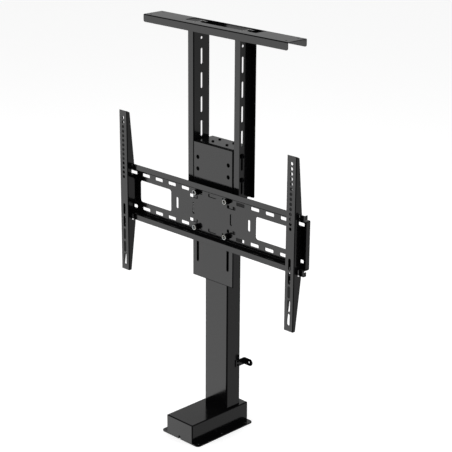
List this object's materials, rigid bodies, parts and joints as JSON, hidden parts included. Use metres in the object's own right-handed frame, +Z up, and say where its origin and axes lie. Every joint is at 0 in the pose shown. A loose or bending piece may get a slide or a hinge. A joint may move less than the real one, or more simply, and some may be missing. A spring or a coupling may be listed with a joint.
{
  "type": "motorized tv mount",
  "caption": "Floor-standing motorized television lift: telescopic column on a flanged base, slotted screen plate with two sliding arms, and a lid support on two slotted uprights.",
  "frame": {"origin": "on the underside of the base plate, under the centre line of the telescopic column", "axes": "+Z up along the column, +X to the right as seen from the screen side, -Y towards the screen side"},
  "size_m": [0.662, 0.2075, 1.0775],
  "materials": {
    "gloss_black": "glossy black powder coat on sheet steel",
    "zinc": "bright zinc plating",
    "black_steel": "black oxide",
    "machined_steel": "turned and drawn steel, lightly oiled",
    "cast_aluminium": "die-cast aluminium",
    "nylon": "moulded nylon",
    "bronze": "machined bronze",
    "black_plastic": "moulded black plastic",
    "rubber": "moulded rubber",
    "circuit_board": "green solder mask"
  },
  "bodies": {
    "base": {"base_plate": "gloss_black", "base_cover": "gloss_black", "cover_screws": "zinc", "column_tube": "gloss_black", "column_gussets": "gloss_black", "upper_guide": "nylon", "gearbox_body": "cast_aluminium", "gearbox_cover": "cast_aluminium", "gearbox_screws": "zinc", "thrust_bearing": "machined_steel", "motor_can": "black_steel", "motor_cap": "black_plastic", "motor_cradle": "rubber", "control_board": "circuit_board", "board_parts": "black_plastic", "power_socket": "black_plastic", "wall_clip": "gloss_black", "clip_screws": "black_steel"},
    "screw": {"lead_screw": "machined_steel", "worm_wheel": "bronze", "screw_bush": "nylon"},
    "worm": {"worm_shaft": "machined_steel"},
    "carriage": {"inner_tube": "machined_steel", "end_plug": "zinc", "plug_screws": "black_steel", "lower_guide": "nylon", "lead_nut": "bronze", "nut_pins": "machined_steel", "carriage_bracket": "gloss_black", "carriage_plate": "gloss_black", "slot_rails": "gloss_black", "side_bolts": "black_steel", "side_spacers": "zinc", "side_nuts": "zinc"},
    "lid_frame": {"upright_left": "gloss_black", "upright_right": "gloss_black", "lid_support": "gloss_black", "head_blocks": "machined_steel", "lid_screws": "zinc"},
    "tv_plate": {"tv_plate": "gloss_black", "plate_bolts": "zinc", "bolt_collars": "black_steel", "plate_nuts": "zinc"},
    "arm_left": {"arm_left": "gloss_black", "lock_screw_left": "zinc"},
    "arm_right": {"arm_right": "gloss_black", "lock_screw_right": "zinc"}
  },
  "joints": [
    {"name": "lift", "type": "slide", "parent": "base", "child": "carriage", "axis": [0, 0, 1], "range_m": [0, 0.56]},
    {"name": "screw_spin", "type": "hinge", "parent": "base", "child": "screw", "pos_m": [0, 0, 0.3], "axis": [0, 0, 1], "range_deg": [-25300, 10]},
    {"name": "worm_spin", "type": "hinge", "parent": "base", "child": "worm", "pos_m": [-0.0155, 0, 0.027], "axis": [0, 1, 0], "range_deg": [-303600, 100]},
    {"name": "lid_height", "type": "slide", "parent": "carriage", "child": "lid_frame", "axis": [0, 0, 1], "range_m": [0, 0.033]},
    {"name": "plate_height", "type": "slide", "parent": "carriage", "child": "tv_plate", "axis": [0, 0, 1], "range_m": [-0.09, 0.012]},
    {"name": "arm_left_slide", "type": "slide", "parent": "tv_plate", "child": "arm_left", "axis": [-1, 0, 0], "range_m": [-0.2, 0.0135]},
    {"name": "arm_right_slide", "type": "slide", "parent": "tv_plate", "child": "arm_right", "axis": [1, 0, 0], "range_m": [-0.2, 0.0135]}
  ],
  "couplings": [
    {"joint": "screw_spin", "follows": "lift", "rad_per_m": -785.4},
    {"joint": "worm_spin", "follows": "lift", "rad_per_m": -9424.8}
  ]
}
